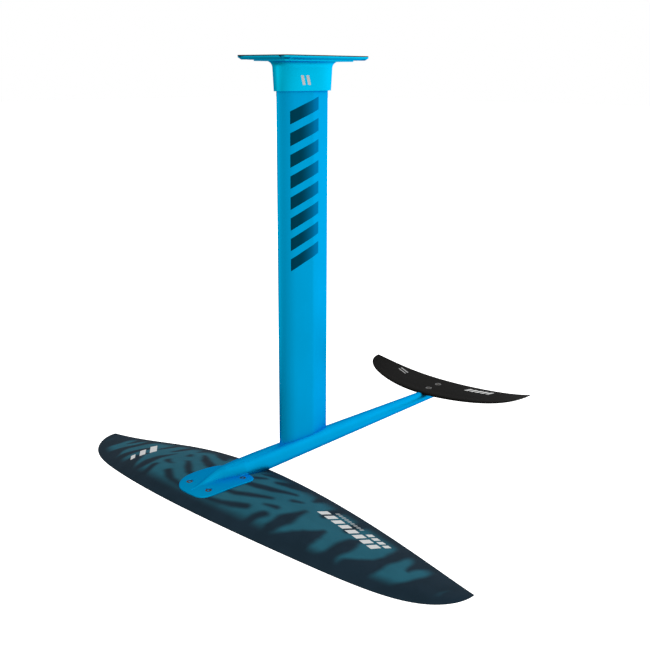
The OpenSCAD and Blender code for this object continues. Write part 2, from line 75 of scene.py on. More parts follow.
# Fuselage, in mm: the tube, the ridge over the wing and the saddle pad under it.
FUSE_BOTTOM, RIDGE_TOP, RIDGE_BASE = -692, -654.2, -671
RIDGE_NOSE, RIDGE_RUN, NOSE_RUN, BLEND_RUN, TAIL = -264, 70, 104, 66, 438
FALL_Y, FALL_ROUND, FALL = -105, 40, 0.033
TUBE_HALF_W, TUBE_FRONT = 19, -200
SADDLE_Y, SADDLE_HALF_L, SADDLE_HALF_W = -214.5, 57, 44.5
SADDLE_T, SADDLE_ROUND = 2.2, 0.7
FRONT_POWER, REAR_POWER = 3.2, 5
BELL_SPREAD = 1.7        # width of the bell at the ridge's nose, in ridge widths
WALL_FOOT = 0.4          # run of the ridge's side where it meets the saddle
RIDGE_SINK = 0.012       # share by which the ridge stays under the tube once that is full size
RIDGE_FLOOR = 3          # height of the ridge's hidden flat over the tube's lowest line
TUBE_START, TUBE_RUN = 0.96, 16    # the tube's first size inside the ridge, and its growth
TAIL_ROUND = 14          # length of the tail's round end

# Wing screws on one side, in mm: places, depth of the heads and the recess round each.
WING_SCREWS = ((23.5, -249), (25.7, -176.6))
HEAD_SINK = 0.7
HEAD_SLACK = 0.1
RECESS_FLARE, RECESS_DEPTH = 0.6, 2.4

# Airbrushed strokes on the port half of the front wing, in mm: (x, y, radius) from end to end.
STROKES = (
    ((28, -130, 3), (45, -114, 9)),
    ((96, -108, 15), (84, -122, 11), (68, -134, 5)),
    ((43, -141, 3), (34, -153, 5)),
    ((38, -184, 6), (62, -174, 8), (82, -164, 8), (98, -152, 5), (115, -140, 3)),
    ((36, -229, 4), (60, -221, 5), (78, -207, 6), (104, -186, 3)),
    ((30, -262, 3), (60, -257, 4), (78, -248, 6), (97, -236, 6)),
    ((130, -227, 6), (124, -245, 6), (122, -265, 6)),
    ((112, -209, 2), (128, -200, 5)),
    ((126, -162, 4), (138, -151, 2)),
    ((160, -166, 2), (160, -188, 7), (159, -215, 12), (157, -240, 9), (157, -250, 5)),
    ((213, -184, 4), (212, -200, 9), (207, -216, 15), (203, -232, 20), (198, -255, 30)),
    ((144, -106, 9), (143, -131, 2)),
    ((183, -108, 8), (183, -152, 5)),
    ((228, -108, 8), (229, -150, 5)),
    ((259, -150, 4), (256, -165, 10), (255, -190, 11), (254, -215, 10), (254, -240, 16)),
    ((312, -95, 14), (312, -125, 9), (312, -150, 8), (309, -172, 10), (303, -190, 15),
     (296, -210, 24)),
    ((345, -143, 2), (345, -125, 6), (345, -105, 12)),
    ((392, -118, 22), (386, -140, 19), (380, -165, 19), (374, -190, 22)),
    ((425, -120, 12), (415, -145, 6)),
)


# ---------- foil formulas ----------

def edge_y(k, s):
    return (k[0] + k[1] * s**2 + k[2] * s**4 + k[3] * s**8
            + k[4] * (1 - np.sqrt(np.maximum(0, 1 - s**4))))


def half_section(c):
    return 5 * (0.2969 * np.sqrt(c) - 0.126 * c - 0.3516 * c**2 + 0.2843 * c**3 - 0.1036 * c**4)


def camber_line(c):
    p = CAMBER_AT
    return np.where(c < p, (2 * p * c - c * c) / p**2, (1 - 2 * p + 2 * p * c - c * c) / (1 - p)**2)


def foil_points(foil, t, c, side, inset):
    """Points in mm on a foil's surface at span share t and chord share c, or inset under it."""
    s = np.abs(t) * S_END
    low, high = edge_y(foil["le"], s), edge_y(foil["te"], s)
    chord = high - low
    thin = 1 - TIP_THINNING * s * s
    half = chord * foil["tc"] * thin * half_section(c) + EDGE_HALF * c
    half = np.where(inset > 0, np.maximum(0, half - inset), half)
    z = (foil["z"] + foil["arc"][0] * s**2 + foil["arc"][1] * s**4
         + chord * foil["camber"] * thin * camber_line(c) + side * half)
    return np.stack([t * foil["half"], low + c * chord, z], axis=-1)


def smooth_step(v, low, high):
    u = np.clip((v - low) / (high - low), 0, 1)
    return u * u * (3 - 2 * u)


def foil_z(foil, x, y, side):
    """Height in mm of a foil's surface (side 1 or -1) or of its mean surface (side 0)."""
    s = np.clip(np.abs(x) / foil["half"], 0, 1) * S_END
    low, high = edge_y(foil["le"], s), edge_y(foil["te"], s)
    c = np.clip((y - low) / (high - low), 0, 1)
    return foil_points(foil, x / foil["half"], c, side, np.zeros_like(c))[..., 2]


# ---------- fuselage formulas ----------

def crest_z(y):
    u = y - FALL_Y
    return np.maximum(RIDGE_TOP - FALL * (u + np.sqrt(u * u + FALL_ROUND**2)) / 2, STAB["z"] - 0.5)


def ridge_z(y):
    rise = smooth_step(y, RIDGE_NOSE, RIDGE_NOSE + RIDGE_RUN)
    return RIDGE_BASE + (crest_z(y) - RIDGE_BASE) * rise


def middle_z(y):
    t = smooth_step(y, RIDGE_NOSE, RIDGE_NOSE + NOSE_RUN)
    return (RIDGE_BASE - 1.5) * (1 - t) + (ridge_z(y) + FUSE_BOTTOM) / 2 * t


def tube_half_h(y):
    return ridge_z(y) - middle_z(y)


def tube_half_w(y):
    t = np.clip((y - RIDGE_NOSE + 2) / NOSE_RUN, 0, 1)
    nose = TUBE_HALF_W * (t + 0.1 * t * np.sin(math.pi * t))
    return np.where(y < RIDGE_NOSE + NOSE_RUN, nose, np.minimum(TUBE_HALF_W, tube_half_h(y) + 0.4))


def saddle_power(y):
    return np.where(y < SADDLE_Y, FRONT_POWER, REAR_POWER)


def saddle_half(y):
    n = saddle_power(y)
    return SADDLE_HALF_W * np.maximum(0, 1 - (np.abs(y - SADDLE_Y) / SADDLE_HALF_L)**n)**(1 / n)


def saddle_z(x, y):
    n = saddle_power(y)
    level = ((np.abs(x) / SADDLE_HALF_W)**n + (np.abs(y - SADDLE_Y) / SADDLE_HALF_L)**n)**(1 / n)
    d = np.clip((1 - level) * SADDLE_HALF_W / SADDLE_ROUND, 0, 1)
    return foil_z(WING, x, y, 1) + SADDLE_T - SADDLE_ROUND * (1 - np.sqrt(1 - (1 - d)**2))


def ridge_foot(y):
    drop = (foil_z(WING, 0 * y, y, 1) + SADDLE_T - middle_z(y)) / tube_half_h(y)
    return tube_half_w(y) * np.sqrt(np.maximum(0.01, 1 - np.maximum(0, drop)**2))


def front_z(x, y):
    """Top of the saddle pad and of the ridge on it: soft at the nose, crisp further aft."""
    pad, foot = saddle_z(x, y), ridge_foot(y)
    crisp = smooth_step(y, RIDGE_NOSE, RIDGE_NOSE + BLEND_RUN)
    # the ridge sinks just under the tube where the tube takes over
    sink = 1 - RIDGE_SINK * smooth_step(y, TUBE_FRONT + 4, TUBE_FRONT + 22)
    dome = middle_z(y) + tube_half_h(y) * sink * np.sqrt(
        np.maximum(0, 1 - (x / tube_half_w(y) / sink)**2))
    dome = np.where(np.abs(x) > foot + 0.01, pad, dome)
    bell = np.maximum(0, ridge_z(y) - saddle_z(0 * x, y)) * (
        1 + np.cos(math.pi * np.minimum(1, np.abs(x) / foot / BELL_SPREAD))) / 2
    raised = pad + crisp * np.maximum(0, dome - pad) + (1 - crisp) * bell
    return np.where(y < RIDGE_NOSE, pad, raised)


def front_rings():
    """Cross-sections of the saddle pad and ridge, from front to rear, as closed rings."""
    k = np.linspace(0, 1, 61)
    reach = 1 - np.maximum(0.0004, k**2.2)
    ys = np.concatenate([SADDLE_Y - SADDLE_HALF_L * reach,
                         (SADDLE_Y + SADDLE_HALF_L * reach)[::-1][1:]])
    rings = []
    for y in ys:
        w = float(saddle_half(y))
        foot = min(float(ridge_foot(y)), w / 2)
        flat = np.linspace(foot + WALL_FOOT, w - SADDLE_ROUND, 16)
        rim = w - SADDLE_ROUND * (1 - np.sin(np.linspace(0, 1, 7)[1:] * math.pi / 2))
        half = np.concatenate([foot * np.sin(np.linspace(0, 1, 29)[1:] * math.pi / 2), flat, rim])
        xs = np.concatenate([-half[::-1], [0], half])
        top = np.stack([xs, np.full_like(xs, y), front_z(xs, np.full_like(xs, y))], axis=-1)
        low = np.array([[w, y, FUSE_BOTTOM + RIDGE_FLOOR], [-w, y, FUSE_BOTTOM + RIDGE_FLOOR]])
        rings.append(np.concatenate([top, low]))
    return np.array(rings)


def tube_rings():
    """Cross-sections of the tube, from inside the ridge to the tail's round end."""
    tail = TAIL - TAIL_ROUND * (1 - np.sin(np.linspace(0, 1, 10) * math.pi / 2))
    ys = np.concatenate([np.linspace(TUBE_FRONT, -90, 56), np.linspace(-84, 340, 72),
                         np.linspace(344, 422, 40), tail])
    a = np.linspace(0, 2 * math.pi, 97)[:-1]
    rings = []
    for y in ys:
        u = max(0.0, (y - TAIL + TAIL_ROUND) / TAIL_ROUND)
        grown = smooth_step(y, TUBE_FRONT, TUBE_FRONT + TUBE_RUN)
        q = math.sqrt(max(0.04, 1 - u * u)) * (TUBE_START + (1 - TUBE_START) * grown)
        x = tube_half_w(y) * q * np.sin(a)
        z = middle_z(y) + tube_half_h(y) * q * np.cos(a)
        wing = foil_z(WING, x, np.full_like(x, y), 0)
        stab = foil_z(STAB, x, np.full_like(x, y), 0)
        z = np.where(y < WING["te"][0], np.maximum(z, wing), z)
        z = np.where(y > STAB["le"][0], np.minimum(z, stab), z)
        rings.append(np.stack([x, np.full_like(x, y), z], axis=-1))
    return np.array(rings)


# ---------- mesh helpers ----------

def deselect():
    if bpy.context.object and bpy.context.object.mode != "OBJECT":
        bpy.ops.object.mode_set(mode="OBJECT")
    bpy.ops.object.select_all(action="DESELECT")


def make_active(piece):
    deselect()
    piece.select_set(True)
    bpy.context.view_layer.objects.active = piece


def make_nothing_active():
    deselect()
    bpy.context.view_layer.objects.active = None


def apply_modifier(piece, kind, **values):
    make_active(piece)
    modifier = piece.modifiers.new(kind.title(), kind)
    for key, value in values.items():
        setattr(modifier, key, value)
    bpy.ops.object.modifier_apply(modifier=modifier.name)


def smooth(piece, angle):
    make_active(piece)
    bpy.ops.object.shade_smooth_by_angle(angle=math.radians(angle))


def finish_piece(piece, name, material, nodes):
    piece.name = piece.data.name = name
    piece.data.materials.clear()
    piece.data.materials.append(material)
    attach(piece, BODY)
    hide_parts(*nodes)


def copy_node(node):
    """A copy of a CAD node with its loose triangles merged into one surface."""
    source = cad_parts[node]
    piece = bpy.data.objects.new(node + "_look", source.data.copy())
    bpy.context.collection.objects.link(piece)
    make_active(piece)
    bpy.ops.object.mode_set(mode="EDIT")
    bpy.ops.mesh.select_all(action="SELECT")
    bpy.ops.mesh.remove_doubles(threshold=2e-6)
    bpy.ops.mesh.dissolve_limited(angle_limit=math.radians(0.2))
    bpy.ops.object.mode_set(mode="OBJECT")
    return piece


def shell_half(foil, rows, cols, side, inner):
    """One face of a foil's skin as a grid of points, with its rim on the section's mean line."""
    make_nothing_active()
    bpy.ops.mesh.primitive_grid_add(x_subdivisions=rows, y_subdivisions=cols, size=2)
    piece = bpy.context.object
    count = len(piece.data.vertices)
    co = np.empty(count * 3)
    piece.data.vertices.foreach_get("co", co)
    co = co.reshape(-1, 3)
    t = np.sin(co[:, 0] * math.pi / 2)
    c = (1 - np.cos((co[:, 1] + 1) * math.pi / 2)) / 2
    rim = (np.abs(co[:, 0]) > 0.9999) | (np.abs(co[:, 1]) > 0.9999)
    t = np.where(co[:, 0] > 0.9999, 1, np.where(co[:, 0] < -0.9999, -1, t))
    c = np.where(co[:, 1] < -0.9999, 0, np.where(co[:, 1] > 0.9999, 1, c))
    inset = np.full(count, SKIN if inner else 0.0)
    points = foil_points(foil, t, c, np.where(rim, 0, side), inset)
    piece.data.vertices.foreach_set("co", (points * MM).ravel())
    piece.data.update()
    if (side < 0) != inner:
        make_active(piece)
        bpy.ops.object.mode_set(mode="EDIT")
        bpy.ops.mesh.select_all(action="SELECT")
        bpy.ops.mesh.flip_normals()
        bpy.ops.object.mode_set(mode="OBJECT")
    return piece


def foil_shell(foil, rows, cols, side):
    """A closed skin: the outer face, the inner face and their shared rim."""
    outer = shell_half(foil, rows, cols, side, False)
    inner = shell_half(foil, rows, cols, side, True)
    deselect()
    inner.select_set(True)
    outer.select_set(True)
    bpy.context.view_layer.objects.active = outer
    bpy.ops.object.join()
    bpy.ops.object.mode_set(mode="EDIT")
    bpy.ops.mesh.select_all(action="SELECT")
    bpy.ops.mesh.remove_doubles(threshold=2e-7)
    bpy.ops.object.mode_set(mode="OBJECT")
    return outer


def loft(rings):
    """A closed surface through rings of points in mm, capped at both ends."""
    rows, cols = rings.shape[0], rings.shape[1] + 1
    make_nothing_active()
    bpy.ops.mesh.primitive_grid_add(x_subdivisions=cols - 1, y_subdivisions=rows - 1, size=2)
    piece = bpy.context.object
    co = np.empty(len(piece.data.vertices) * 3)
    piece.data.vertices.foreach_get("co", co)
    co = co.reshape(-1, 3)
    col = np.rint((co[:, 0] + 1) / 2 * (cols - 1)).astype(int) % rings.shape[1]
    row = np.rint((co[:, 1] + 1) / 2 * (rows - 1)).astype(int)
    piece.data.vertices.foreach_set("co", (rings[row, col] * MM).ravel())
    piece.data.update()
    bpy.ops.object.mode_set(mode="EDIT")
    bpy.ops.mesh.select_all(action="SELECT")
    bpy.ops.mesh.remove_doubles(threshold=2e-7)
    bpy.ops.mesh.select_all(action="SELECT")
    bpy.ops.mesh.fill_holes(sides=0)
    bpy.ops.mesh.select_all(action="SELECT")
    bpy.ops.mesh.normals_make_consistent(inside=False)
    bpy.ops.object.mode_set(mode="OBJECT")
    return piece


def combine(piece, other, operation):
    """Adds another solid to a piece, or cuts it away, and removes the other."""
    apply_modifier(piece, "BOOLEAN", operation=operation, object=other, solver="EXACT")
    bpy.data.objects.remove(other)


def recess(piece, x, y, floor, low_r, high_r, depth):
    """Sinks a round recess with sloping sides, from the floor's height up by its depth."""
    make_nothing_active()
    bpy.ops.mesh.primitive_cone_add(vertices=64, radius1=low_r, radius2=high_r, depth=depth,
                                    location=(x, y, floor + depth / 2))
    combine(piece, bpy.context.object, "DIFFERENCE")


def drill(piece, places, radius, low, high):
    """Cuts round holes through a piece, at places in metres."""
    for x, y in places:
        make_nothing_active()
        bpy.ops.mesh.primitive_cylinder_add(vertices=64, radius=radius, depth=high - low,
                                            location=(x, y, (low + high) / 2))
        combine(piece, bpy.context.object, "DIFFERENCE")


# ---------- airbrush ----------

def stroke_dark(points, soft):
    """How dark the airbrush is at each point, from 0 to 1, by the distance to the strokes."""
    dark = np.zeros(len(points))
    for stroke in STROKES:
        near = np.full(len(points), 1e9)
        for a, b in zip(stroke, stroke[1:]):
            a, b = np.array(a, float), np.array(b, float)
            way = b[:2] - a[:2]
            t = np.clip(((points - a[:2]) @ way) / (way @ way), 0, 1)
            radius = a[2] + t * (b[2] - a[2])
            gap = np.hypot(*(points - a[:2] - t[:, None] * way).T) - radius
            near = np.minimum(near, gap)
        dark = np.maximum(dark, smooth_step(-near, -soft, soft * 0.6))
    return dark


def paint_airbrush(piece, looks):
    """Writes the airbrushed layout into a vertex attribute: 1 is teal, 0 is navy."""
    mesh = piece.data
    co = np.empty(len(mesh.vertices) * 3)
    mesh.vertices.foreach_get("co", co)
    x, y = co.reshape(-1, 3)[:, 0] / MM, co.reshape(-1, 3)[:, 1] / MM
    s = np.clip(np.abs(x) / WING["half"], 0, 1) * S_END
    low, high = edge_y(WING["le"], s), edge_y(WING["te"], s)
    # the starboard half leans outwards a little near the leading edge
    lean = 16 * smooth_step(-y, 140, 200) * smooth_step(np.abs(x), 100, 135) * (x < 0)
    wobble = 1.5 * np.sin(x * 0.11 + 1) * np.sin(y * 0.13)
    flat = np.stack([np.abs(x) - lean + wobble, y + wobble], axis=-1)
    # teal fades to navy near the leading edge, the trailing edge and the tips
    inside = (smooth_step(y - low, 10, 34) * smooth_step(high - y, 8, 36)
              * smooth_step(WING["half"] - np.abs(x), 12, 60))
    teal = inside * (1 - stroke_dark(flat, looks.airbrush_soft / MM))
    layer = mesh.attributes.new("airbrush", "FLOAT", "POINT")
    layer.data.foreach_set("value", teal.astype(np.float32))


# ---------- shader helpers ----------

class Value:
    """A socket that holds a number, with Python's operators as Math nodes."""

    def __init__(self, shader, socket):
        self.shader = shader
        self.socket = socket

    def _math(self, operation, *others):
        sockets = {k: v for k, v in enumerate(others)}
        return self.shader.node("ShaderNodeMath", {"operation": operation}, sockets).out()

    def __add__(self, other):
        return self._math("ADD", self, other)

    def __radd__(self, other):
        return self._math("ADD", other, self)

    def __sub__(self, other):
        return self._math("SUBTRACT", self, other)

    def __rsub__(self, other):
        return self._math("SUBTRACT", other, self)

    def __mul__(self, other):
        return self._math("MULTIPLY", self, other)

    def __rmul__(self, other):
        return self._math("MULTIPLY", other, self)

    def __truediv__(self, other):
        return self._math("DIVIDE", self, other)

    def __lt__(self, other):
        return self._math("LESS_THAN", self, other)

    def __gt__(self, other):
        return self._math("GREATER_THAN", self, other)

    def fract(self):
        return self._math("FRACT", self)

    def sin(self):
        return self._math("SINE", self)

    def root(self):
        return self._math("SQRT", self)

    def absolute(self):
        return self._math("ABSOLUTE", self)

    def between(self, low, high):
        return (self > low) * (self < high)

    def ramp(self, low, high, smooth_ends=True):
        kind = "SMOOTHSTEP" if smooth_ends else "LINEAR"
        return self.shader.node("ShaderNodeMapRange", {"interpolation_type": kind},
                                {"Value": self, "From Min": low, "From Max": high}).out("Result")


class Made:
    """A node that was just made, and its outputs."""

    def __init__(self, shader, made):
        self.shader = shader
        self.made = made

    def out(self, key=0):
        return Value(self.shader, self.made.outputs[key])


class Nodes:
    """A node tree that is fed by expressions, with the place or direction of what it shades."""

    def __init__(self, tree, coordinate):
        self.tree = tree
        self.place = self.node("ShaderNodeTexCoord", {}, {}).out(coordinate)
        split = self.node("ShaderNodeSeparateXYZ", {}, {0: self.place})
        self.x, self.y, self.z = split.out("X"), split.out("Y"), split.out("Z")

    def node(self, kind, settings, sockets):
        made = self.tree.nodes.new(kind)
        for key, value in settings.items():
            setattr(made, key, value)
        for key, value in sockets.items():
            self.feed(made.inputs[key], value)
        return Made(self, made)

    def feed(self, socket, value):
        if isinstance(value, Value):
            self.tree.links.new(value.socket, socket)
        else:
            socket.default_value = value

    def add(self, a, b):
        return self.node("ShaderNodeVectorMath", {"operation": "ADD"}, {0: a, 1: b}).out()

    def tone(self, tint_value, amount):
        """A tint times a number."""
        return self.node("ShaderNodeVectorMath", {"operation": "SCALE"},
                         {0: tuple(tint_value), "Scale": amount}).out()

    def mix(self, factor, a, b):
        """A colour between a and b."""
        return self.node("ShaderNodeMix", {"data_type": "RGBA"},
                         {0: factor, 6: colour(a), 7: colour(b)}).out(2)


class Finish(Nodes):
    """A material and the nodes that give it its surface."""

    def __init__(self, name):
        self.material = bpy.data.materials.new(name)
        self.material.use_nodes = True
        super().__init__(self.material.node_tree, "Object")
        self.surface = self.tree.nodes["Principled BSDF"]

    def set(self, **sockets):
        for key, value in sockets.items():
            self.feed(self.surface.inputs[key.replace("_", " ")], value)

    def base(self):
        """The colour that feeds the surface so far."""
        return Value(self, self.surface.inputs["Base Color"].links[0].from_socket)

    def noise(self, scale, detail=3.0, rough=0.5, stretch=None):
        place = self.place
        if stretch:
            place = self.node("ShaderNodeMapping", {}, {"Vector": place, "Scale": stretch}).out()
        return self.node("ShaderNodeTexNoise", {},
                         {"Vector": place, "Scale": scale, "Detail": detail,
                          "Roughness": rough}).out(0)

    def bump(self, height, distance, strength=1.0):
        self.set(Normal=self.node("ShaderNodeBump", {},
                                  {"Height": height, "Distance": distance,
                                   "Strength": strength}).out())


def colour(value):
    return value if isinstance(value, Value) or len(value) == 4 else (*value, 1.0)


# ---------- finishes ----------

def painted_blue(name, base, shade, looks, rough):
    """Satin blue over cast or drawn aluminium, and its fine grain for the relief."""
    f = Finish(name)
    cloud = f.noise(18, 2)
    grain = f.noise(2600, 2, 0.6)
    f.set(Base_Color=f.mix(cloud.ramp(0.3, 0.7), base, shade), Metallic=1.0,
          Roughness=rough + 0.06 * grain + 0.04 * cloud, IOR=1.45,
          Specular_IOR_Level=looks.blue_gloss, Specular_Tint=(0, 0.5, 1, 1))
    return f, grain


def plate_finish(looks):
    """The plate's cyan, with two small slanted bars on each flank of the collar."""
    f, grain = painted_blue("plate_satin_cyan", looks.plate_colour, looks.plate_shade, looks, 0.42)
    slant, pitch, share, flank = 0.35, 0.0125, 0.52, 0.010
    row = (f.y + slant * (f.z + 0.038) + 0.0065) / pitch
    bars = (row.fract() < share) * row.between(-1, 1) * f.z.between(-0.0455, -0.0305)
    mark = bars * (f.x.absolute() > flank)
    f.set(Base_Color=f.mix(mark, f.base(), looks.mark_white), Metallic=1 - mark)
    f.bump(grain, 0.00002, 0.5)
    return f.material


def mast_finish(looks):
    """Drawn aluminium in anodised blue, with dark slanted blocks near the top."""
    f, _ = painted_blue("mast_anodised_blue", looks.mast_colour, looks.mast_shade, looks, 0.4)
    # drawing leaves streaks along the mast, and they replace the fine grain
    streaks = f.noise(1, 4, 0.6, (900, 900, 6))
    base = f.mix(streaks.ramp(0.35, 0.7), f.base(), looks.mast_shade)
    slant, pitch, share, count, first = 0.32, 0.0345, 0.6, 8, 0.075
    row = (slant * (f.y + 0.006) - f.z - first) / pitch
    printed = (row.fract() < share) * row.between(0, count) * f.y.between(-0.041, 0.028)
    ink = f.mix(f.y.ramp(-0.02, 0.03), looks.block_dark, looks.block_light)
    f.set(Base_Color=f.mix(printed, base, ink))
    f.bump(streaks, 0.00002, 0.4)
    return f.material


def fuselage_finish(looks):
    f, grain = painted_blue("fuselage_satin_blue", looks.fuselage_colour, looks.fuselage_shade,
                            looks, 0.42)
    f.bump(grain, 0.00002, 0.5)
    return f.material


def wing_base(name, looks, airbrushed):
    """Matt navy laminate, with the teal of the airbrush attribute where that is asked for."""
    f = Finish(name)
    grain = f.noise(1500, 3, 0.6)
    cloud = f.noise(30, 3)
    navy = f.mix(cloud.ramp(0.35, 0.65), looks.navy, looks.navy_deep)
    if airbrushed:
        amount = f.node("ShaderNodeAttribute", {"attribute_name": "airbrush"}, {}).out("Fac")
        teal = f.mix(cloud.ramp(0.3, 0.7), looks.teal, looks.teal_deep)
        speckle = amount + 0.10 * (grain - 0.5)
        navy = f.mix(speckle.ramp(0.0, 1.0, False), navy, teal)
    # the cloth's weave shows faintly through the matt lacquer
    threads = 2 * math.pi * 700
    weave = ((f.x + f.y) * threads).sin() * ((f.x - f.y) * threads).sin()
    f.set(Base_Color=navy, Roughness=0.56 + 0.1 * grain + 0.02 * weave,
          Specular_IOR_Level=looks.wing_gloss)
    f.bump(weave * 0.3 + grain, 0.00003, 0.35)
    return f


def wing_top_finish(looks):
    """Matt navy laminate with a teal airbrush layout and plain white dashes."""
    f = wing_base("wing_airbrush_navy_teal", looks, True)
    x, y = f.x, f.y
    lean = x - 0.35 * (y + 0.14)
    pitch = (lean - 0.172) / 0.0145
    row = (pitch.fract() < 0.68) * pitch.between(0, 8) * y.between(-0.1495, -0.132)
    small = (lean - 0.245) / 0.0108
    short = (small.fract() < 0.66) * small.between(0, 4) * y.between(-0.1265, -0.1155)
    thin = (lean - 0.18) / 0.0062
    dots = (thin.fract() < 0.55) * thin.between(0, 9) * y.between(-0.125, -0.118)
    tilt = y + 0.78 * (x + 0.246)
    bars = (tilt.between(-0.163, -0.147) * x.between(-0.270, -0.222)
            + tilt.between(-0.186, -0.173) * x.between(-0.258, -0.224)
            + tilt.between(-0.206, -0.196) * x.between(-0.246, -0.226))
    white = (row + short + 0.55 * dots + bars).ramp(0, 1, False)
    f.set(Base_Color=f.mix(white, f.base(), looks.mark_white))
    return f.material


def wing_under_finish(looks):
    return wing_base("wing_plain_navy", looks, False).material


def stab_finish(name, looks, printed):
    """Carbon twill under a matt lacquer; the upper face carries a row of plain white dashes."""
    f = Finish(name)
    x, y = f.x, f.y
    # two-by-two twill: tows 2 mm wide, each row shifted by one
    repeat = 0.004
    u, v = x / repeat, y / repeat
    diagonal = (u + v).fract()
    tow = (diagonal - 0.5).absolute() * 2
    cross = (u - v).fract()
    weave = tow.ramp(0.35, 0.65) * 0.7 + (cross - 0.5).absolute() * 0.6
    grain = f.noise(3000, 2)
    # painted sheen: tows that catch the light get the lighter carbon tone, tows across the light get
    # the darker one
    base = f.mix(weave.ramp(0.1, 1.0), looks.carbon_shaded_tows, looks.carbon)
    slope = y - 0.22 * (x - 0.09)
    pitch = (x - 0.35 * (slope - 0.434) - 0.064) / 0.0112
    row = (pitch.fract() < 0.7) * pitch.between(0, 5) * slope.between(0.427, 0.442)
    tilt = y + 0.5 * (x + 0.108)
    bars = (tilt.between(0.437, 0.441) + tilt.between(0.429, 0.432)) * x.between(-0.125, -0.095)
    white = (row + 0.6 * bars).ramp(0, 1, False)
    f.set(Base_Color=f.mix(white, base, looks.mark_white) if printed else base,
          Roughness=0.5 + 0.12 * grain + 0.05 * weave, Specular_IOR_Level=looks.wing_gloss)
    f.bump(weave + 0.3 * grain, 0.00004, 0.35)
    return f.material


def steel_finish(name, base, rough):
    """Turned steel, with a fine grain and small wear marks."""
    f = Finish(name)
    grain = f.noise(1, 3, 0.6, (2500, 2500, 400))
    wear = f.noise(260, 4, 0.6)
    dark = tuple(0.55 * v for v in base[:3])
    f.set(Base_Color=f.mix(wear.ramp(0.35, 0.7), base, dark), Metallic=0.9,
          Roughness=rough + 0.15 * grain)
    f.bump(grain, 0.00001, 0.4)
    return f.material


def rubber_finish(looks):
    f = Finish("pad_black_rubber")
    grain = f.noise(1800, 3, 0.7)
    f.set(Base_Color=f.mix(grain, looks.rubber, tuple(1.8 * v for v in looks.rubber)),
          Roughness=0.75 + 0.15 * grain)
    f.bump(grain, 0.00008, 0.5)
    return f.material


def foam_finish(name, base, scale):
    f = Finish(name)
    cells = f.node("ShaderNodeTexVoronoi", {}, {"Vector": f.place, "Scale": scale}).out(0)
    f.set(Base_Color=f.mix(cells.ramp(0, 1), base, tuple(0.7 * v for v in base)), Roughness=0.9)
    f.bump(cells, 0.0002, 0.6)
    return f.material


# ---------- properties ----------

def tint(name, text, value):
    return FloatVectorProperty(name=name, description=text, default=value, size=3, min=0, max=1,
                               subtype="COLOR")


class HydrofoilLooks(bpy.types.PropertyGroup):
    plate_colour: tint("Plate", "Colour of the board plate and collar", (0.0, 0.64, 0.95))
    plate_shade: tint("Plate shade", "Darker tone of the board plate", (0.0, 0.62, 0.92))
    mast_colour: tint("Mast", "Colour of the mast", (0.0, 0.43, 0.80))
    mast_shade: tint("Mast shade", "Darker tone of the mast", (0.0, 0.42, 0.77))
    fuselage_colour: tint("Fuselage", "Colour of the fuselage", (0.0, 0.44, 0.84))
    fuselage_shade: tint("Fuselage shade", "Darker tone of the fuselage", (0.0, 0.43, 0.81))
    block_dark: tint("Block dark", "Dark end of the printed blocks on the mast", (0.0, 0.055, 0.09))
    block_light: tint("Block light", "Light end of the printed blocks", (0.0, 0.20, 0.42))
    navy: tint("Navy", "Main colour of the front wing", (0.015, 0.033, 0.052))
    navy_deep: tint("Deep navy", "Darker tone of the front wing", (0.013, 0.029, 0.045))
    teal: tint("Teal", "Airbrushed colour", (0.025, 0.145, 0.205))
    teal_deep: tint("Deep teal", "Darker tone of the airbrushed colour", (0.022, 0.128, 0.182))
    mark_white: tint("Dashes", "Colour of the dashes and bars", (0.85, 0.85, 0.85))
    # the two carbon tones are painted sheen: lit and shaded tows of one black cloth
    carbon: tint("Carbon", "Tows of the stabiliser's cloth that catch the light",
                 (0.009, 0.0083, 0.0075))
    carbon_shaded_tows: tint("Carbon shade", "Tows that lie across the light", (0.0045, 0.0042, 0.004))
    rubber: tint("Rubber", "Colour of the pad on the plate", (0.012, 0.012, 0.013))
    steel: tint("Steel", "Colour of the screws", (0.10, 0.085, 0.075))
    sleeve: tint("Sleeves", "Colour of sleeves and ferrules", (0.30, 0.31, 0.32))
    blue_gloss: FloatProperty(name="Blue gloss", description="Specular level of the blue pieces",
                              default=0.0, min=0, max=1, subtype="FACTOR")
    wing_gloss: FloatProperty(name="Wing gloss", description="Specular level of the laminates",
                              default=0.03, min=0, max=1, subtype="FACTOR")
    airbrush_soft: FloatProperty(name="Airbrush edge", description="Softness of a stroke's edge",
                                 default=0.006, min=0.001, max=0.02, subtype="DISTANCE",
                                 unit="LENGTH")


class HydrofoilShapes(bpy.types.PropertyGroup):
    edge_round: FloatProperty(name="Edge rounding", description="Rounding of machined edges",
                              default=0.0004, min=0.0001, max=0.001, subtype="DISTANCE",
                              unit="LENGTH")
    screw_round: FloatProperty(name="Screw rounding", description="Rounding of screw heads",
                               default=0.00015, min=0.00005, max=0.0004, subtype="DISTANCE",
                               unit="LENGTH")
    recess_r: FloatProperty(name="Screw recess", description="Radius of a wing screw's recess",
                            default=0.0060, min=0.004, max=0.007, subtype="DISTANCE",
                            unit="LENGTH")
    wing_rows: IntProperty(name="Wing rows", description="Mesh rows across the front wing",
                           default=340, min=40, max=400)
    wing_cols: IntProperty(name="Wing columns", description="Mesh columns along its chord",
                           default=80, min=12, max=120)
    stab_rows: IntProperty(name="Stabiliser rows", description="Mesh rows across the stabiliser",
                           default=160, min=30, max=300)
    stab_cols: IntProperty(name="Stabiliser columns", description="Mesh columns along its chord",
                           default=44, min=10, max=100)


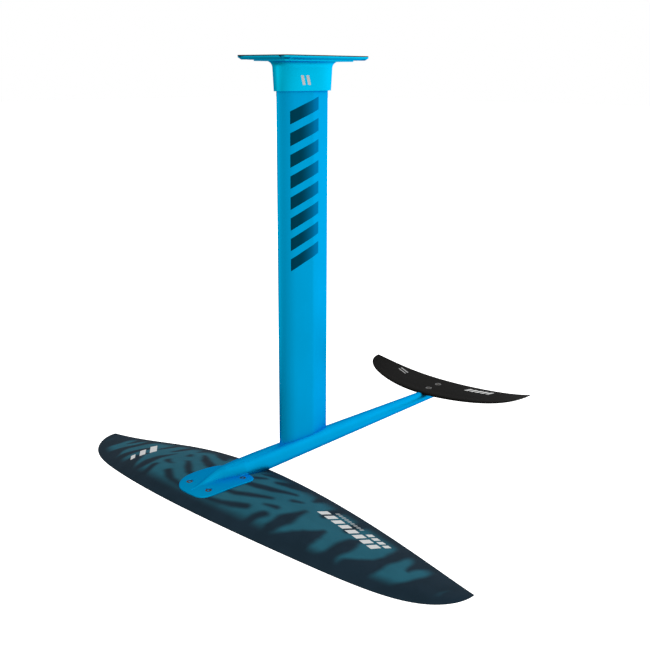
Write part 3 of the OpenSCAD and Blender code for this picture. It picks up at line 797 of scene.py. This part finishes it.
class HydrofoilStudio(bpy.types.PropertyGroup):
    floor_z: FloatProperty(name="Floor height", description="Height of the pale studio floor",
                           default=-1.15, subtype="DISTANCE", unit="LENGTH")
    ambient: FloatProperty(name="Ambient", description="Strength of the light from all round",
                           default=0.42, min=0, max=2)
    ambient_tone: tint("Ambient tone", "Tone of the light from all round", (1.0, 1.0, 0.97))
    screen_power: FloatProperty(name="Screen", description="Strength of the tall screen behind",
                                default=0.95, min=0, max=5)
    screen_tone: tint("Screen tone", "Tone of the tall screen", (0.93, 0.95, 1.0))
    screen_turn: FloatProperty(name="Screen direction", description="Direction of the tall screen",
                               default=math.radians(82), subtype="ANGLE", unit="ROTATION")
    screen_width: FloatProperty(name="Screen width", description="Half of the screen's spread",
                                default=math.radians(55), subtype="ANGLE", unit="ROTATION")
    screen_core: FloatProperty(name="Screen core", description="Half of its evenly bright part",
                               default=math.radians(8), subtype="ANGLE", unit="ROTATION")
    overhead_power: FloatProperty(name="Overhead", description="Strength of the light from above",
                                  default=0.2, min=0, max=4)
    front_power: FloatProperty(name="Front screen", description="Strength of the screen in front",
                               default=0.5, min=0, max=5)
    front_tone: tint("Front tone", "Tone of the screen in front", (1.0, 1.0, 0.95))


# ---------- pieces ----------

def machined(node, name, material, round_by, angle=30, limit=35):
    """A piece copied from its CAD node, with its edges rounded."""
    piece = copy_node(node)
    apply_modifier(piece, "BEVEL", width=round_by, segments=2, limit_method="ANGLE",
                   angle_limit=math.radians(limit), use_clamp_overlap=True)
    smooth(piece, angle)
    finish_piece(piece, name, material, [node])


class HYDROFOIL_OT_board_plate(bpy.types.Operator):
    """Makes the board plate with its collar, the rubber pad on it and the screws to the mast"""
    bl_idname = "hydrofoil.board_plate"
    bl_label = "Board plate"

    def execute(self, context):
        looks, shapes = context.scene.hydrofoil_looks, context.scene.hydrofoil_shapes
        machined("top_plate", "board_plate", plate_finish(looks), shapes.edge_round)
        machined("mount_pad", "board_pad", rubber_finish(looks), 0.0002)
        machined("plate_screws", "plate_bolts", steel_finish("plate_bolt_steel", looks.steel, 0.3),
                 shapes.screw_round)
        return {"FINISHED"}


class HYDROFOIL_OT_mast(bpy.types.Operator):
    """Makes the mast extrusion"""
    bl_idname = "hydrofoil.mast"
    bl_label = "Mast"

    def execute(self, context):
        looks = context.scene.hydrofoil_looks
        machined("mast_extrusion", "mast", mast_finish(looks), 0.0003, angle=35,
                 limit=50)
        return {"FINISHED"}


class HYDROFOIL_OT_fuselage(bpy.types.Operator):
    """Makes the fuselage with its saddle pad, and the screws up into the mast"""
    bl_idname = "hydrofoil.fuselage"
    bl_label = "Fuselage"

    def execute(self, context):
        looks, shapes = context.scene.hydrofoil_looks, context.scene.hydrofoil_shapes
        body = loft(front_rings())
        combine(body, loft(tube_rings()), "UNION")
        for x, y in WING_SCREWS:
            for side in (-1, 1):
                top = float(foil_z(WING, np.array(side * x), np.array(y), 1)) + SADDLE_T
                recess(body, side * x * MM, y * MM, (top - HEAD_SINK - HEAD_SLACK) * MM,
                       shapes.recess_r, shapes.recess_r + RECESS_FLARE * MM, RECESS_DEPTH * MM)
        low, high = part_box("foot_screws")
        radius = (high.x - low.x) / 2
        middle_x = (low.x + high.x) / 2
        drill(body, [(middle_x, low.y + radius), (middle_x, high.y - radius)],
              radius + 0.5 * MM, low.z - 10 * MM, low.z + 0.2 * MM)
        smooth(body, 30)
        finish_piece(body, "fuselage_body", fuselage_finish(looks), ["fuselage"])
        machined("foot_screws", "foot_bolts", steel_finish("foot_bolt_steel", looks.steel, 0.3),
                 shapes.screw_round)
        return {"FINISHED"}


class HYDROFOIL_OT_front_wing(bpy.types.Operator):
    """Makes the front wing's two skins and the screws in the saddle pad"""
    bl_idname = "hydrofoil.front_wing"
    bl_label = "Front wing"

    def execute(self, context):
        looks, shapes = context.scene.hydrofoil_looks, context.scene.hydrofoil_shapes
        top = foil_shell(WING, shapes.wing_rows, shapes.wing_cols, 1)
        paint_airbrush(top, looks)
        smooth(top, 55)
        finish_piece(top, "wing_upper", wing_top_finish(looks), ["wing_top_skin"])
        under = foil_shell(WING, shapes.wing_rows // 2, shapes.wing_cols // 2, -1)
        smooth(under, 55)
        finish_piece(under, "wing_lower", wing_under_finish(looks),
                     ["wing_bottom_skin"])
        machined("wing_screws", "wing_bolts", steel_finish("wing_bolt_steel", looks.steel, 0.35),
                 shapes.screw_round)
        return {"FINISHED"}


class HYDROFOIL_OT_stabiliser(bpy.types.Operator):
    """Makes the stabiliser's two skins with their holes, the ferrules and the screws in them"""
    bl_idname = "hydrofoil.stabiliser"
    bl_label = "Stabiliser"

    def execute(self, context):
        looks, shapes = context.scene.hydrofoil_looks, context.scene.hydrofoil_shapes
        printed = stab_finish("stab_carbon_printed", looks, True)
        plain = stab_finish("stab_carbon_plain", looks, False)
        low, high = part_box("stab_ferrules")
        middle_x = (low.x + high.x) / 2
        radius = (high.x - low.x) / 2 + 0.08 * MM
        places = [(middle_x, low.y + radius), (middle_x, high.y - radius)]
        for side, name, node in ((1, "stab_upper", "stab_top_skin"),
                                 (-1, "stab_lower", "stab_bottom_skin")):
            skin = foil_shell(STAB, shapes.stab_rows, shapes.stab_cols, side)
            drill(skin, places, radius, low.z - 20 * MM, high.z + 20 * MM)
            smooth(skin, 50)
            carbon = printed if name == "stab_upper" else plain
            finish_piece(skin, name, carbon, [node])
        machined("stab_ferrules", "stab_cups", steel_finish("cup_steel", looks.sleeve, 0.4),
                 0.0002)
        machined("stab_screws", "stab_bolts", steel_finish("stab_bolt_steel", looks.steel, 0.35),
                 shapes.screw_round)
        return {"FINISHED"}


class HYDROFOIL_OT_inner_parts(bpy.types.Operator):
    """Finishes the pieces inside the mast, the fuselage and the wings"""
    bl_idname = "hydrofoil.inner_parts"
    bl_label = "Inner parts"

    def execute(self, context):
        looks = context.scene.hydrofoil_looks
        sleeve = steel_finish("sleeve_steel", looks.sleeve, 0.35)
        plug = steel_finish("plug_aluminium", (0.6, 0.6, 0.62), 0.4)
        foam = foam_finish("core_foam", (0.6, 0.5, 0.3), 900)
        block = foam_finish("hardpoint_laminate", (0.2, 0.24, 0.12), 300)
        finishes = {"head_plugs": plug, "foot_plugs": plug, "head_sleeves": sleeve,
                    "foot_sleeves": sleeve, "tail_sleeves": sleeve, "wing_sleeves": sleeve,
                    "wing_core": foam, "stab_core": foam, "wing_hardpoint": block}
        for node, material in finishes.items():
            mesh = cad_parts[node].data
            mesh.materials.clear()
            mesh.materials.append(material)
        return {"FINISHED"}


# ---------- studio ----------

def studio_sky(sky, studio):
    """Soft light from all round and above, a tall bright screen behind, a dimmer one in front."""
    flat = sky.x * math.cos(studio.screen_turn) + sky.y * math.sin(studio.screen_turn)
    reach = (sky.x * sky.x + sky.y * sky.y + 0.001).root()
    screen = ((flat / reach).ramp(math.cos(studio.screen_width), math.cos(studio.screen_core))
              * (1 - sky.z.ramp(0.5, 0.85)) * sky.z.ramp(-0.95, -0.5))
    overhead = sky.z.ramp(0.45, 0.85)
    front = (sky.x * 0.65 - sky.y * 0.75 + sky.z * 0.15).ramp(0.15, 1)
    below = 1 - 0.55 * (1 - sky.z.ramp(-0.9, -0.35))
    light = sky.add(sky.tone(studio.ambient_tone, below * studio.ambient),
                    sky.tone(studio.screen_tone, screen * studio.screen_power))
    light = sky.add(light, sky.tone(studio.front_tone, front * studio.front_power))
    light = sky.add(light, sky.tone(studio.screen_tone, overhead * studio.overhead_power))
    seen = sky.node("ShaderNodeLightPath", {}, {}).out("Is Camera Ray")
    end = sky.tree.nodes["Background"].inputs["Color"]
    sky.feed(end, sky.mix(seen, light, (1, 1, 1)))


def pale_floor():
    f = Finish("studio_floor_white")
    paper = f.noise(40, 3)
    f.set(Base_Color=f.mix(paper, (0.9, 0.9, 0.9), (0.95, 0.95, 0.95)), Roughness=0.9,
          Emission_Color=(1, 1, 1, 1), Emission_Strength=1.0)
    return f.material


def camera():
    """The lens stands in front of the port tip, a little above the wing."""
    turn, dip, roll = math.radians(42.29), math.radians(15.76), math.radians(0.285)
    right = Vector((math.cos(turn), math.sin(turn), 0))
    ahead = Vector((-math.sin(turn), math.cos(turn), 0))
    up = Vector((0, 0, 1))
    look = math.cos(dip) * ahead - math.sin(dip) * up
    top = math.sin(dip) * ahead + math.cos(dip) * up
    side = math.cos(roll) * right + math.sin(roll) * top
    top = math.cos(roll) * top - math.sin(roll) * right
    place = Vector((1.04242, -1.09346, -0.02528))
    data = bpy.data.cameras.new("studio_camera")
    data.sensor_width = 36
    data.lens = 49.65
    seat = bpy.data.objects.new("studio_camera", data)
    bpy.context.collection.objects.link(seat)
    seat.matrix_world = Matrix([[side.x, top.x, -look.x, place.x], [side.y, top.y, -look.y, place.y],
                                [side.z, top.z, -look.z, place.z], [0, 0, 0, 1]])
    bpy.context.scene.camera = seat


class HYDROFOIL_OT_studio(bpy.types.Operator):
    """Makes the floor, the surroundings that give the light, and the camera"""
    bl_idname = "hydrofoil.studio"
    bl_label = "Studio"

    def execute(self, context):
        studio = context.scene.hydrofoil_studio
        make_nothing_active()
        bpy.ops.mesh.primitive_plane_add(size=60, location=(0, 0, studio.floor_z))
        floor = bpy.context.object
        floor.name = "studio_floor"
        floor.data.materials.append(pale_floor())
        # the surroundings light the object from below, not the floor
        floor.visible_diffuse = floor.visible_glossy = False
        world = bpy.data.worlds.new("studio_world")
        context.scene.world = world
        world.use_nodes = True
        studio_sky(Nodes(world.node_tree, "Generated"), studio)
        context.scene.view_settings.view_transform = "Standard"
        camera()
        return {"FINISHED"}


class HYDROFOIL_PT_panel(bpy.types.Panel):
    """Buttons for every group of pieces, and their sizes and colours"""
    bl_idname = "HYDROFOIL_PT_panel"
    bl_label = "Hydrofoil"
    bl_space_type = "VIEW_3D"
    bl_region_type = "UI"
    bl_category = "Hydrofoil"

    def draw(self, context):
        for operator in OPERATORS:
            self.layout.operator(operator.bl_idname)
        for group in GROUPS:
            settings = getattr(context.scene, group)
            for key in settings.__annotations__:
                self.layout.prop(settings, key)


OPERATORS = (HYDROFOIL_OT_studio, HYDROFOIL_OT_board_plate, HYDROFOIL_OT_mast,
             HYDROFOIL_OT_fuselage, HYDROFOIL_OT_front_wing, HYDROFOIL_OT_stabiliser,
             HYDROFOIL_OT_inner_parts)
GROUPS = {"hydrofoil_looks": HydrofoilLooks, "hydrofoil_shapes": HydrofoilShapes,
          "hydrofoil_studio": HydrofoilStudio}


def register():
    for group in GROUPS.values():
        bpy.utils.register_class(group)
    for name, group in GROUPS.items():
        setattr(bpy.types.Scene, name, PointerProperty(type=group))
    for operator in OPERATORS:
        bpy.utils.register_class(operator)
    bpy.utils.register_class(HYDROFOIL_PT_panel)


def unregister():
    bpy.utils.unregister_class(HYDROFOIL_PT_panel)
    for operator in reversed(OPERATORS):
        bpy.utils.unregister_class(operator)
    for name in GROUPS:
        delattr(bpy.types.Scene, name)
    for group in GROUPS.values():
        bpy.utils.unregister_class(group)


def main():
    register()
    for operator in OPERATORS:
        group, name = operator.bl_idname.split(".")
        getattr(getattr(bpy.ops, group), name)()


if __name__ == "__main__":
    main()
